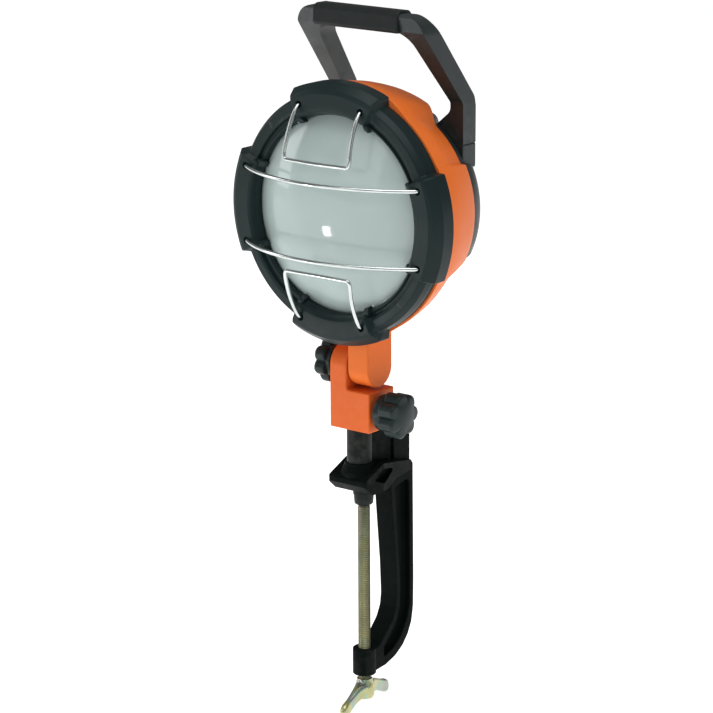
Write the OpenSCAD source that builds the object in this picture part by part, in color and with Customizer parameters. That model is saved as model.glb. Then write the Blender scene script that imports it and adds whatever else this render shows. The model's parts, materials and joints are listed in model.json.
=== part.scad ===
// Clamp-on work light: guarded round head on a tilt and swivel bracket,
// carried by a C-clamp. Millimetres, +Z up, the light faces -Y.
// The origin is the middle of the clamp jaw's underside, on the clamp screw's axis.

/* [Guard ring] */
// Radius over the four rubber bumpers
bumper_r = 115.5; // [113:0.5:118]
// Radius of the ring between the bumpers
ring_r = 108; // [106:0.5:110]
// Radius of the lens opening
open_r = 86.9; // [84:0.1:87.4]
// Arc of one bumper, in degrees
bumper_arc = 48; // [46:1:54]
// Radius of the circle that the guard wires are set on
wire_pcd_r = 100; // [98:0.5:102]
// Angle between a wire's end and the middle of its bumper
wire_ang = 19.56; // [17:0.1:21]
// Diameter of the guard wire
wire_d = 3.6; // [3:0.1:4]
// How far the cross wires bow out in front of the ring
wire_bow = 32; // [28:1:36]

/* [Head] */
// Height of the head's centre above the jaw
head_z = 255; // [250:1:262]
// Number of fins on the heat sink
fins = 11; // [7:2:13]
// Arc of one raised pad on the shell, in degrees
pad_arc = 55; // [50:1:58]

/* [Handle] */
// Width over the handle's arms at the top
handle_w = 136; // [132:1:140]
// Height of the grip's top above the head's centre
handle_top = 176; // [172:1:180]
// Depth of the grip, front to back
grip_d = 23; // [21:0.5:25]

/* [Bracket] */
// Height of the tilt pivot below the head's centre
pivot_drop = 141; // [139:0.5:142]
// Width of the bracket block
block_w = 44; // [42:1:46]
// Depth of the bracket block
block_d = 36; // [34:1:38]
// Radius over the lobes of a star knob
knob_r = 20.5; // [18:0.5:21]
// Number of lobes on a star knob
knob_lobes = 7; // [6:1:8]

/* [Clamp] */
// Diameter of the post
post_d = 22.4; // [21:0.1:23]
// Diameter of the clamp screw
screw_d = 11.4; // [10:0.1:12]
// Height of the clamp's gap between the jaw and the boss
throat_h = 150.5; // [149:0.5:152]
// Width of the jaw
jaw_w = 42; // [38:1:46]
// Width of the spine's flanges
flange_w = 18.8; // [17:0.2:21]

/* [Hidden] */
fit = 0.05;             // radial clearance of a running fit
head_y = -2;            // the head's and bracket's centre plane, in Y
post_y = -6;            // the post's axis
piv = head_z - pivot_drop;
blk_top = head_z - 160.8;
blk_bot = head_z - 197.2;
knob_z = head_z - 179;
boss_top = -throat_h;
boss_bot = -throat_h - 25;
ear_x0 = -block_w/2;
ear_x1 = -3.6;
lug_x0 = -2.3;
lug_x1 = 20.5;
tilt_y = head_y;
C = 96;                 // facets on large rounds (true circles)

// ---------------------------------------------------------------- helpers
module at_head() translate([0, head_y, head_z]) children();
// local +Z points out of the lens, local +Y points up
module fwd() at_head() rotate([90, 0, 0]) children();
module rev(pts) rotate_extrude($fn = C) polygon(pts);
module sector(pts, mid, arc) rotate([0, 0, mid - arc/2]) rotate_extrude(angle = arc, $fn = C) polygon(pts);
module tube(r1, r2, z0, z1) translate([0, 0, z0]) difference() {
  cylinder(r = r1, h = z1 - z0, $fn = 64);
  translate([0, 0, -1]) cylinder(r = r2, h = z1 - z0 + 2, $fn = 64);
}
module xcyl(r, x0, x1, y, z, n = 48) translate([x0, y, z]) rotate([0, 90, 0]) cylinder(r = r, h = x1 - x0, $fn = n);
module rod(p, q, d) {
  v = q - p; L = norm(v);
  b = acos(v[2]/L); c = atan2(v[1], v[0]);
  translate(p) rotate([0, b, c]) cylinder(d = d, h = L, $fn = 24);
}
function unit(v) = v/norm(v);
function tang(p, i) = unit(p[min(i + 1, len(p) - 1)] - p[max(i - 1, 0)]);
function ups(p, i, u) = i >= len(p) ? [] : let(t = tang(p, i), w = unit(u - t*(u*t))) concat([w], ups(p, i + 1, w));
// rounds the corners of a path, keeping its two ends
function soften(p, n) = n == 0 ? p : soften(concat([p[0]], [for (i = [0 : len(p) - 2]) each
  [if (i > 0) p[i]*0.75 + p[i + 1]*0.25, if (i < len(p) - 2) p[i]*0.25 + p[i + 1]*0.75]], [p[len(p) - 1]]), n - 1);
// round wire swept along a path
module wire(p, d, u0, n = 10) {
  U = ups(p, 0, u0);
  N = len(p);
  P = [for (i = [0 : N - 1]) let(t = tang(p, i), u = U[i], v = cross(t, u)) for (k = [0 : n - 1]) p[i] + d/2*(u*cos(360*k/n) + v*sin(360*k/n))];
  polyhedron(P, concat([[for (k = [0 : n - 1]) k]],
    [for (i = [0 : N - 2]) for (k = [0 : n - 1]) [i*n + k, (i + 1)*n + k, (i + 1)*n + (k + 1)%n, i*n + (k + 1)%n]],
    [[for (k = [n - 1 : -1 : 0]) (N - 1)*n + k]]), convexity = 6);
}
// pan-head screw along +Z with its head's seat at z = 0
module pan_screw(d, L, hd, hh) {
  translate([0, 0, -L]) cylinder(d = d, h = L + 0.2, $fn = 24);
  difference() {
    cylinder(d = hd, h = hh, $fn = 32);
    for (a = [0, 90]) rotate([0, 0, a]) translate([-hd*0.3, -hd*0.06, hh*0.45]) cube([hd*0.6, hd*0.12, hh]);
  }
}

// ---------------------------------------------------------------- clamp
// side outline of the jaw and the top arm, as [y, z]
arm_side = [[-25, 13.6], [2, 25.6], [58, 14], [60, 5], [28, 5], [12, 0], [-14, 0], [-25, 9.5]];
// plan outline of the jaw and the top arm, as [x, y]
arm_plan = [[-jaw_w/2, -25], [jaw_w/2, -25], [jaw_w/2, 2], [flange_w/2, 58], [flange_w/2, 62], [-flange_w/2, 62], [-flange_w/2, 58], [-jaw_w/2, 2]];
// outer outline of the spine and the bottom arm, as [y, z]
bow_x = [[27.5, 9], [60.5, 12], [61.5, -100], [61, -126], [58.5, -140], [53, -151], [45, -160], [34, -167], [20, -171.5], [4, -173],
  [4, boss_top - 2], [12, boss_top + 2], [21, -140], [29.5, -131], [34.5, -121], [36, -110], [34.5, -80], [27.5, -8]];
// recess between the flanges, as [y, z]
web_x = [[33.5, -6], [54.5, -2], [56, -100], [55.5, -124], [50.5, -138], [42, -150.5], [32, -158], [17, -163.5],
  [17.5, -153], [27, -143.5], [36, -133], [40.5, -121], [41.5, -108], [40, -80]];
module side_prism(pts, w) rotate([90, 0, 90]) translate([0, 0, -w/2]) linear_extrude(w) polygon(pts);
module clamp_frame() color([0.11, 0.13, 0.13]) difference() {
  union() {
    intersection() {
      side_prism(arm_side, 60);
      translate([0, 0, -5]) linear_extrude(40) polygon(arm_plan);
    }
    side_prism(bow_x, flange_w);
    // socket for the post
    translate([0, post_y, 8]) cylinder(r = 12.9, h = 18, $fn = 64);
    translate([0, post_y, 17]) cylinder(r1 = 16.5, r2 = 12.9, h = 8, $fn = 64);
    // gusset and rib that stand behind the post
    side_prism([[0, 12], [0, 50], [50, 47], [58, 40], [58, 10]], 6.4);
    side_prism([[36, 10], [36, 46], [38, 48], [58, 48], [60, 46], [60, 10]], 12.4);
    // threaded boss for the screw
    translate([0, 0, boss_bot]) cylinder(r = 10.6, h = 25, $fn = 64);
  }
  // recesses between the flanges, one on each side of the web
  for (s = [-1, 1]) translate([s*(3.2 + 10), 0, 0]) side_prism(web_x, 20);
  // recesses in the sides of the top arm
  for (s = [-1, 1]) translate([s*22, 0, 0]) side_prism([[-13, 13.4], [2, 20.8], [24, 16.2], [4, 6.4]], 16);
  // post socket, open at the top
  translate([0, post_y, 6]) cylinder(d = post_d, h = 60, $fn = 64);
  translate([0, post_y, 26.1]) cylinder(d = post_d + 2, h = 40, $fn = 64);
  // screw bore
  translate([0, 0, boss_bot - 1]) cylinder(d = screw_d + 2*fit, h = 27, $fn = 48);
  // four grip grooves in the jaw's underside
  for (y = [-11.5, 10]) translate([-jaw_w/2 - 1, y, -1]) cube([jaw_w + 2, 1.6, 2]);
}
module post() color([0.12, 0.14, 0.14]) translate([0, post_y, 0]) difference() {
  union() {
    translate([0, 0, 6]) cylinder(d = post_d, h = blk_top - 5 - 6 - 1.5, $fn = 64);
    translate([0, 0, blk_top - 6.5]) cylinder(d1 = post_d, d2 = post_d - 3, h = 1.5, $fn = 64);
  }
  translate([0, 0, knob_z - 4]) tube(20, 9.6, 0, 8);
}
module swivel_pad() color("silver") difference() {
  union() {
    translate([0, 0, -4.8]) cylinder(r = 9.6, h = 4.5, $fn = 48);
    translate([0, 0, -6]) cylinder(r1 = 9, r2 = 9.6, h = 1.2, $fn = 48);
    translate([0, 0, -14.6]) cylinder(r1 = 8.4, r2 = 9, h = 8.6, $fn = 48);
  }
  translate([0, 0, -7.5]) sphere(d = 9 + 2*fit, $fn = 48);
  translate([0, 0, -16]) cylinder(r = 3.9, h = 6, $fn = 48);
}
screw_end = boss_bot - 22;
module clamp_screw() color([0.62, 0.62, 0.48]) difference() {
  union() {
    translate([0, 0, -7.5]) sphere(d = 9, $fn = 48);
    translate([0, 0, -17]) cylinder(d = 6.4, h = 8, $fn = 32);
    translate([0, 0, -17.2]) cylinder(d1 = screw_d, d2 = 6.4, h = 2, $fn = 48);
    translate([0, 0, screw_end]) cylinder(d = screw_d, h = -17.2 - screw_end, $fn = 48);
  }
  translate([0, 0, boss_bot - 14]) rotate([0, 0, 9.4]) rotate([0, 90, 0]) translate([0, 0, -10]) cylinder(d = 4, h = 20, $fn = 24);
}
// one wing, as [radius, z] from the hub's middle
wing = [[5, 5], [14, 3.5], [28, -1], [37, -3], [42, -7], [42.5, -12], [39, -16], [31, -16.5], [22, -12], [12, -8], [5, -6.5]];
module wing_handle() color([0.66, 0.66, 0.50]) translate([0, 0, boss_bot - 14]) rotate([0, 0, 9.4]) difference() {
  union() {
    translate([0, 0, -9]) cylinder(r = 8.6, h = 16, $fn = 48);
    translate([0, 0, 7]) cylinder(r1 = 8.6, r2 = 6.6, h = 3, $fn = 48);
    for (a = [0, 180]) rotate([90, 0, 90 + a]) translate([0, 0, -3]) linear_extrude(6) polygon(wing);
  }
  translate([0, 0, -8]) cylinder(d = screw_d, h = 20, $fn = 48);
  rotate([0, 90, 0]) translate([0, 0, -10]) cylinder(d = 4, h = 20, $fn = 24);
}
module handle_pin() color("silver") translate([0, 0, boss_bot - 14]) rotate([0, 0, 9.4]) rotate([0, 90, 0]) translate([0, 0, -8.4]) cylinder(d = 4, h = 16.8, $fn = 24);

// ---------------------------------------------------------------- bracket
module yoke() color([0.86, 0.44, 0.22]) translate([0, head_y, 0]) difference() {
  union() {
    translate([-block_w/2, -block_d/2, blk_bot]) cube([block_w, block_d, blk_top - blk_bot]);
    translate([ear_x0, -block_d/2, blk_top - 1]) cube([ear_x1 - ear_x0, block_d, piv - blk_top + 1]);
    xcyl(block_d/2, ear_x0, ear_x1, 0, piv, 72);
  }
  translate([0, post_y - head_y, blk_bot - 1]) cylinder(d = post_d + 2*fit, h = blk_top - 4.5 - blk_bot + 1, $fn = 64);
  xcyl(5 + fit, ear_x0 - 1, ear_x1 + 1, 0, piv);
  xcyl(4 + fit, 0, block_w/2 + 1, post_y - head_y, knob_z);
}
module tilt_bolt() color("silver") translate([0, tilt_y, 0]) xcyl(5, ear_x0 - 15, lug_x1 - 4, 0, piv);
module friction_washer() color("gray") translate([0, tilt_y, 0]) difference() {
  xcyl(15, ear_x1, lug_x0 - 0.1, 0, piv);
  xcyl(5 + fit, ear_x1 - 1, lug_x0 + 1, 0, piv);
}
module knob_washer() color("silver") translate([0, tilt_y, 0]) difference() {
  xcyl(10.5, ear_x0 - 1.6, ear_x0, 0, piv);
  xcyl(5 + fit, ear_x0 - 3, ear_x0 + 1, 0, piv);
}
// star knob with its seat at z = 0, growing along +Z
module star(hub_h, hub_r, h) {
  cylinder(r = hub_r, h = hub_h + 0.2, $fn = 64);
  difference() {
    union() {
      translate([0, 0, hub_h]) cylinder(r = knob_r - 4.8, h = h, $fn = 64);
      for (i = [0 : knob_lobes - 1]) rotate([0, 0, i*360/knob_lobes]) translate([knob_r - 5.2, 0, hub_h]) cylinder(r = 5.2, h = h - 0.8, $fn = 32);
    }
    for (i = [0 : knob_lobes - 1]) rotate([0, 0, (i + 0.5)*360/knob_lobes]) translate([knob_r + 0.6, 0, hub_h - 1]) cylinder(r = 4.4, h = h + 2, $fn = 32);
  }
  translate([0, 0, hub_h + h - 1]) intersection() {
    cylinder(r = 14, h = 5, $fn = 48);
    translate([0, 0, -28]) sphere(r = 31.4, $fn = 64);
  }
}
module tilt_knob() color([0.17, 0.19, 0.19]) translate([ear_x0 - 1.7, tilt_y, piv]) rotate([0, -90, 0]) difference() {
  star(5, 16.2, 11);
  translate([0, 0, -1]) cylinder(r = 7.5, h = 11.5, $fn = 48);
  translate([0, 0, 5]) cylinder(r = 5.3, h = 9.6, $fn = 48);
}
module tilt_knob_nut() color("goldenrod") translate([ear_x0 - 1.7, tilt_y, piv]) rotate([0, -90, 0]) difference() {
  cylinder(r = 7.5, h = 10.4, $fn = 48);
  translate([0, 0, -1]) cylinder(r = 5 + fit, h = 13, $fn = 48);
}
module swivel_knob() color([0.19, 0.22, 0.22]) translate([block_w/2 + 4.5, post_y, knob_z]) rotate([0, 90, 0]) difference() {
  star(8, 16.2, 16.5);
  translate([0, 0, -1]) cylinder(r = 4, h = 17, $fn = 48);
}
module swivel_knob_stud() color("silver") {
  translate([0, post_y, 0]) xcyl(4, 13, block_w/2 + 20.4, 0, knob_z);
  translate([0, post_y, 0]) xcyl(3, 9.7, 13, 0, knob_z);
}

// ---------------------------------------------------------------- head, fixed frame
// All outlines below are [radius, distance in front of the head's centre].
shell_pts = [[100, 30], [100, 20], [110, 20], [108, 10], [105.5, 0], [101.5, -10], [97, -20], [93, -30], [89, -40],
  [85.4, -40], [89.4, -30], [93.3, -20], [97.8, -10], [101, 0], [101, 13], [84, 17], [84, 22.4], [96, 22.4], [96, 30]];
pad_pts = [[98, 19.9], [110.6, 19.9], [108.8, 8], [107.2, 0], [104.4, -10], [101.2, -20], [97.7, -30], [93.8, -40], [86, -40], [94, -20], [101.2, 0]];
hump_pts = [[98, 19.9], [113.4, 19.9], [112.8, 8], [112, 0], [110.5, -10], [108, -20], [105, -30], [101, -40], [86, -40], [94, -20], [101.2, 0]];
module shell_cavity() rev([[0, 17], [84, 17], [101, 13], [101, 0], [97.8, -10], [93.3, -20], [89.4, -30], [85.4, -41], [0, -41]]);
module screws4(r) for (a = [45, 135, 225, 315]) rotate([0, 0, a]) translate([r, 0, 0]) children();
module ring_holes(r, f0, f1) for (a = [45, 135, 225, 315]) rotate([0, 0, a]) translate([104.2, 0, f0]) cylinder(r = r, h = f1 - f0, $fn = 24);
module head_shell() color([0.91, 0.50, 0.26]) difference() {
  union() {
    fwd() rev(shell_pts);
    fwd() for (a = [0, 180, 270]) sector(pad_pts, a, pad_arc);
    fwd() sector(hump_pts, 90, pad_arc + 13);
    // posts that carry the heat sink and take the cover's screws
    fwd() for (a = [45, 135, 225, 315]) rotate([0, 0, a]) intersection() {
      union() {
        translate([80, 0, -40]) cylinder(r = 4.4, h = 17.9, $fn = 32);
        translate([80, -1.5, -40]) cube([16, 3, 17.9]);
      }
      rev([[0, -20], [94.5, -20], [90.6, -30], [86.6, -40], [0, -40]]);
    }
    // knuckle for the tilt pivot
    translate([0, tilt_y, 0]) difference() {
      union() {
        xcyl(17.5, lug_x0, lug_x1, 0, piv, 72);
        translate([lug_x0, -17.5, piv]) cube([lug_x1 - lug_x0, 35, pivot_drop - 103]);
      }
      translate([0, 0, 0]) translate([0, 0, head_z]) rotate([90, 0, 0]) shell_cavity();
    }
  }
  translate([0, tilt_y, 0]) xcyl(5, lug_x0 - 1, lug_x1 - 4, 0, piv);
  fwd() ring_holes(1.8, 0, 25);
  fwd() for (a = [45, 135, 225, 315]) rotate([0, 0, a]) translate([104.2, 0, -14]) cylinder(r = 3.9, h = 26, $fn = 32);
  fwd() screws4(80) translate([0, 0, -41]) cylinder(r = 1.7, h = 20, $fn = 24);
}
ring_pts = [[open_r, 30.7], [100.3, 30.7], [100.3, 20.1], [ring_r, 20.1], [ring_r, 33], [105.2, 38], [90.5, 38], [88, 36.2], [open_r, 33.6]];
bump_pts = [[88.2, 35], [88.2, 42.4], [90, 44], [106.4, 44], [108.6, 43.2], [bumper_r, 34.5], [bumper_r, 20.1], [106, 20.1], [106, 31], [90, 31]];
module wire_ends() for (b = [0, 90, 180, 270]) for (s = [-1, 1]) rotate([0, 0, b + s*wire_ang]) translate([wire_pcd_r, 0, 0]) children();
module front_ring() color([0.20, 0.24, 0.25]) fwd() difference() {
  union() {
    rev(ring_pts);
    for (a = [0, 90, 180, 270]) sector(bump_pts, a, bumper_arc);
  }
  wire_ends() translate([0, 0, 33]) cylinder(d = wire_d, h = 20, $fn = 24);
  wire_ends() translate([0, 0, 42.4]) cylinder(r1 = wire_d/2 - 0.2, r2 = wire_d/2 + 1, h = 1.8, $fn = 24);
  ring_holes(1.4, 15, 30);
}
module ring_screws() color("silver") fwd() for (a = [45, 135, 225, 315]) rotate([0, 0, a]) translate([104.2, 0, 12]) rotate([180, 0, 0]) pan_screw(2.8, 17.5, 7, 2.6);
xe = wire_pcd_r*cos(wire_ang);
ze = wire_pcd_r*sin(wire_ang);
bow_r = (xe*xe + wire_bow*wire_bow)/(2*wire_bow);
bow_a = asin(xe/bow_r);
module cross_wire(z) color([0.72, 0.76, 0.75]) fwd() wire(concat([[-xe, z, 33.2], [-xe, z, 44.4], [-xe + 0.9, z, 46.6]],
  [for (i = [1 : 21]) let(t = bow_a*(i/11 - 1)) [bow_r*sin(t), z, 43.6 + wire_bow - bow_r + bow_r*cos(t)]],
  [[xe - 0.9, z, 46.6], [xe, z, 44.4], [xe, z, 33.2]]), wire_d - 0.1, [0, 1, 0]);
// hanging loop, drawn for the top and turned over for the bottom
module loop_wire(s) color([0.72, 0.76, 0.75]) fwd() wire(soften([[-ze, s*xe, 33.2], [-ze, s*xe, 39], [-ze, s*xe, 46.2], [-ze - 0.4, s*(xe - 4), 49.6], [-ze - 1, s*(xe - 16), 54.5], [-ze - 1.6, s*(xe - 30), 59.5],
  [-ze - 2.6, s*(xe - 45), 62], [0, s*(xe - 45.6), 63], [ze + 2.6, s*(xe - 45), 62],
  [ze + 1.6, s*(xe - 30), 59.5], [ze + 1, s*(xe - 16), 54.5], [ze + 0.4, s*(xe - 4), 49.6], [ze, s*xe, 46.2], [ze, s*xe, 39], [ze, s*xe, 33.2]], 2), wire_d - 0.1, [1, 0, 0]);
module guard_wire_upper() cross_wire(ze);
module guard_wire_lower() cross_wire(-ze);
module guard_loop_top() loop_wire(1); 
module guard_loop_bottom() loop_wire(-1);
module lens() color([0.80, 0.87, 0.86, 0.35]) fwd() {
  intersection() {
    difference() {
      translate([0, 0, -128]) sphere(r = 180.5, $fn = 128);
      translate([0, 0, -128]) sphere(r = 178, $fn = 128);
    }
    translate([0, 0, 27.6]) cylinder(r = 86.2, h = 60, $fn = C);
  }
  rev([[82.5, 27.6], [95.4, 27.6], [95.4, 30.6], [84, 30.6]]);
}
module lens_gasket() color([0.15, 0.15, 0.16]) fwd() rev([[80.5, 24.6], [95.4, 24.6], [95.4, 27.5], [80.5, 27.5]]);
module reflector() color([0.74, 0.80, 0.79]) fwd() rev([[79, 24.5], [95.4, 24.5], [95.4, 22.5], [80.6, 22.5], [72.6, -8.2], [22, -15.4], [22, -13.6], [71.4, -6.6]]);
module led_board() color([0.93, 0.94, 0.90]) fwd() translate([0, 0, -17.4]) difference() {
  cylinder(r = 26, h = 1.8, $fn = 64);
  for (a = [39, 219]) rotate([0, 0, a]) translate([19, 0, -1]) cylinder(r = 1.6, h = 4, $fn = 24);
}
module led_emitter() color([0.95, 0.82, 0.35]) fwd() translate([0, 0, -15.6]) {
  cylinder(r = 14, h = 0.8, $fn = 64);
  cylinder(r = 11, h = 1.6, $fn = 64);
}
module heat_sink() color("silver") fwd() difference() {
  union() {
    translate([0, 0, -22]) rotate([0, 0, 3.7]) cylinder(r = 84.6, h = 4.5, $fn = C);
    for (i = [-(fins - 1)/2 : (fins - 1)/2]) let(L = sqrt(66*66 - i*i*10.6*10.6)) translate([i*10.6 - 1, -L, -39]) cube([2, 2*L, 18]);
  }
  for (a = [39, 219]) rotate([0, 0, a]) translate([19, 0, -21.3]) cylinder(r = 1.2, h = 5.3, $fn = 24);
  translate([34, 0, -50]) cylinder(r = 4, h = 40, $fn = 32);
  screws4(80) translate([0, 0, -23]) cylinder(r = 1.5, h = 8, $fn = 24);
}
module heat_sink_screws() color("silver") fwd() for (a = [39, 219]) rotate([0, 0, a]) translate([19, 0, -15.6]) pan_screw(2.4, 5.4, 4.4, 1.4);
module led_leads() for (s = [-1, 1]) color(s < 0 ? "black" : "firebrick") fwd() wire(soften([[26.1, s*2, -16.5], [31, s*1.9, -16.5], [34, s*1.7, -18.6], [34, s*1.6, -24], [34, s*1.6, -38], [33, s*2.4, -41.4], [29.6, s*4, -42.2], [29, s*4, -43.9]], 1), 1.7, [0, 1, 0], 8);

// ---------------------------------------------------------------- rear cover and handle
cover_out = [[84.6, -40.6], [87.6, -40.6], [84.8, -50], [80.4, -58], [72.4, -66], [60, -72.4], [0, -74],
  [0, -70.8], [59, -69.4], [70.4, -63.8], [77.8, -56.4], [81.6, -49.4]];
cover_pad = [[85, -40.6], [92.4, -40.6], [90.4, -50], [86.4, -58], [79.6, -65.6], [70, -70.2], [69.8, -66], [79.6, -56], [83.2, -48]];
module rear_cover() color([0.13, 0.15, 0.15]) difference() {
  union() {
    fwd() rotate([0, 0, 34]) rev(cover_out);
    fwd() for (a = [0, 90, 180, 270]) sector(cover_pad, a, pad_arc);
    // sleeves for the screws that hold it to the shell
    fwd() screws4(80) translate([0, 0, -53]) cylinder(r = 4.4, h = 12.4, $fn = 32);
    // seats for the handle's feet
    at_head() for (s = [-1, 1]) translate([s*65 - 7, 51, 36]) cube([14, 18.6, 20]);
  }
  fwd() screws4(80) translate([0, 0, -70]) {
    cylinder(r = 1.7, h = 40, $fn = 24);
    cylinder(r = 3.5, h = 20, $fn = 32);
  }
  at_head() for (s = [-1, 1]) translate([s*65, 60.5, 30]) cylinder(r = 1.9, h = 30, $fn = 24);
  at_head() for (s = [-1, 1]) translate([s*65, 60.5, 20]) cylinder(r = 4.4, h = 24, $fn = 32);
  // gland hole low on the back, switch window high on the back
  at_head() translate([0, 60, -40]) rotate([-90, 0, 0]) cylinder(r = 8, h = 30, $fn = 48);
  at_head() translate([-10.1, 60, 19.9]) cube([20.2, 30, 28.2]);
}
module rear_gasket() color([0.2, 0.2, 0.22]) fwd() rev([[85.6, -40.5], [87.4, -40.5], [87.4, -40.1], [85.6, -40.1]]);
module rear_cover_screws() color("silver") fwd() screws4(80) translate([0, 0, -50]) rotate([180, 0, 0]) pan_screw(3, 31.5, 6.2, 2.4);
arm_y = 51.4;           // front face of the arms where they stand upright
knee_z = 92;            // height of the knee in the arms
lean = 0.79;            // forward lean of the arms above the knee
hz = handle_top - 2;    // top of the bare frame
hy = arm_y - lean*(hz - knee_z); // front of the frame at the top
// one arm as a plate outline seen from the side, [y, z]
arm_pts = [[arm_y, 56], [arm_y, knee_z], [hy + 12, hz - 15], [hy + 9, hz - 2], [hy + 12, hz], [hy + 24, hz - 1], [hy + 29, hz - 8],
  [arm_y + 17, knee_z + 5], [arm_y + 18.6, knee_z - 3], [arm_y + 18.2, 56]];
module handle_frame() color([0.20, 0.23, 0.24]) at_head() difference() {
  union() {
    for (s = [-1, 1]) intersection() {
      rotate([90, 0, 90]) translate([0, 0, -80]) linear_extrude(160) polygon(arm_pts);
      translate([0, 120, 0]) rotate([90, 0, 0]) linear_extrude(160) polygon([[s*58.5, 56], [s*72, 56], [s*72, knee_z - 2], [s*(handle_w/2), hz - 12], [s*(handle_w/2 - 8), hz], [s*42 + 2.1, hz], [s*42 + 2.1, hz - 16], [s*49.5, hz - 19], [s*58, knee_z]]);
    }
    // bar inside the grip
    translate([-46, hy + 12, hz - 15.5]) cube([92, 15, 13.5]);
  }
  for (s = [-1, 1]) translate([s*65, 60.5, 50]) cylinder(r = 1.7, h = 26, $fn = 24);
  // room for the back cover's rim and its screws
  rotate([90, 0, 0]) rev([[0, -40], [88, -40], [85.2, -50.1], [80.8, -58.2], [72.7, -66.3], [60.1, -72.8], [0, -74.4]]);
  for (s = [-1, 1]) translate([s*80*cos(45), 49, 80*sin(45)]) rotate([-90, 0, 0]) cylinder(r = 3.6, h = 4.2, $fn = 32);
}
module handle_screws() color("silver") at_head() for (s = [-1, 1]) translate([s*65, 60.5, 44]) rotate([180, 0, 0]) pan_screw(3.4, 30, 8, 3);
module grip_sleeve() color([0.14, 0.17, 0.18]) at_head() difference() {
  translate([-50, hy + 7, hz - 17]) rotate([90, 0, 90]) linear_extrude(94) polygon([[2, 0], [grip_d - 2, 0], [grip_d, 3], [grip_d, 14], [grip_d - 4, 18.6], [5, 19], [1, 16], [0, 3]]);
  translate([-46.2, hy + 12, hz - 15.5]) cube([110, 15, 13.5]);
  translate([-56, hy - 5, hz - 30]) cube([16, 60, 60]);
}
// ---------------------------------------------------------------- electrics in the back
module driver_case() color([0.85, 0.85, 0.82]) at_head() difference() {
  translate([-56, 43, -22]) cube([42, 20, 56]);
  translate([-54, 45, -20]) cube([38, 22, 52]);
}
module driver_board() color([0.15, 0.42, 0.24]) at_head() {
  translate([-53.5, 48, -19.5]) cube([37, 1.6, 51]);
  translate([-50, 49.5, -12]) cube([16, 11, 18]);
  translate([-28, 49.5, 18]) rotate([-90, 0, 0]) cylinder(r = 5, h = 10, $fn = 32);
  translate([-43, 49.5, 19]) rotate([-90, 0, 0]) cylinder(r = 4, h = 9, $fn = 32);
  translate([-28, 49.5, -14]) cube([8, 6, 24]);
}
module terminal_block() color([0.9, 0.9, 0.86]) at_head() difference() {
  translate([22, 44, -14]) cube([16, 12, 30]);
  for (z = [-9, 1, 11]) translate([30, 40, z]) rotate([-90, 0, 0]) cylinder(r = 2, h = 30, $fn = 24);
}
rocker_pts = [[-2.4, -2.4], [2.6, -9], [7.4, -9.2], [6, 0], [7.4, 9.2], [2.6, 9], [-2.4, 2.4]];
module switch_body() color([0.1, 0.1, 0.1]) at_head() {
  difference() {
    union() {
      translate([-9.9, 54, 20.1]) cube([19.8, 20.4, 27.8]);
      translate([-12, 74.1, 18]) cube([24, 2.2, 32]);
    }
    translate([-7.2, 62, 23.4]) cube([14.4, 20, 21.2]);
  }
  translate([-7.4, 70, 34]) rotate([0, 90, 0]) cylinder(r = 0.95, h = 14.8, $fn = 24);
}
module switch_rocker() color([0.75, 0.12, 0.08]) at_head() translate([0, 70, 34]) difference() {
  rotate([-7.5, 0, 0]) rotate([90, 0, 90]) translate([0, 0, -6.6]) linear_extrude(13.2) polygon(rocker_pts);
  translate([-10, 0, 0]) rotate([0, 90, 0]) cylinder(r = 1, h = 20, $fn = 24);
}
module cable_gland() color([0.16, 0.17, 0.18]) at_head() translate([0, 0, -40]) rotate([-90, 0, 0]) difference() {
  union() {
    translate([0, 0, 62]) cylinder(r = 7.9, h = 14, $fn = 48);
    translate([0, 0, 73.7]) cylinder(d = 22, h = 5.5, $fn = 6);
    translate([0, 0, 79]) cylinder(r = 7.4, h = 5, $fn = 48);
  }
  translate([0, 0, 60]) cylinder(r = 4.3, h = 22, $fn = 48);
  translate([0, 0, 80.5]) cylinder(r = 6, h = 10, $fn = 48);
}
module gland_seal() color([0.1, 0.1, 0.1]) at_head() translate([0, 0, -40]) rotate([-90, 0, 0]) tube(6, 4.3, 80.5, 88);
module gland_nut() color([0.16, 0.17, 0.18]) at_head() translate([0, 0, -40]) rotate([-90, 0, 0]) difference() {
  union() {
    translate([0, 0, 79.4]) cylinder(r = 9.6, h = 8, $fn = 48);
    translate([0, 0, 87.4]) cylinder(r1 = 9.6, r2 = 6.2, h = 5, $fn = 48);
    for (i = [0 : 11]) rotate([0, 0, i*30]) translate([9.2, 0, 80.2]) cylinder(r = 0.9, h = 6.4, $fn = 16);
  }
  translate([0, 0, 79]) cylinder(r = 7.4, h = 5, $fn = 48);
  translate([0, 0, 80]) cylinder(r = 6, h = 8, $fn = 48);
  translate([0, 0, 80]) cylinder(r = 4.4, h = 20, $fn = 48);
}

clamp_frame();
post();
swivel_pad();
clamp_screw();
wing_handle();
handle_pin();
yoke();
tilt_bolt();
friction_washer();
knob_washer();
tilt_knob();
tilt_knob_nut();
swivel_knob();
swivel_knob_stud();
head_shell();
front_ring();
ring_screws();
guard_wire_upper();
guard_wire_lower();
guard_loop_top();
guard_loop_bottom();
lens();
lens_gasket();
reflector();
led_board();
led_emitter();
heat_sink();
heat_sink_screws();
led_leads();
rear_cover();
rear_gasket();
rear_cover_screws();
handle_frame();
handle_screws();
grip_sleeve();
driver_case();
driver_board();
terminal_block();
switch_body();
switch_rocker();
cable_gland();
gland_nut();
gland_seal();
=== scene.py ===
import bpy, bmesh, json, math
import numpy as np
from mathutils import Vector, Matrix


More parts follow.
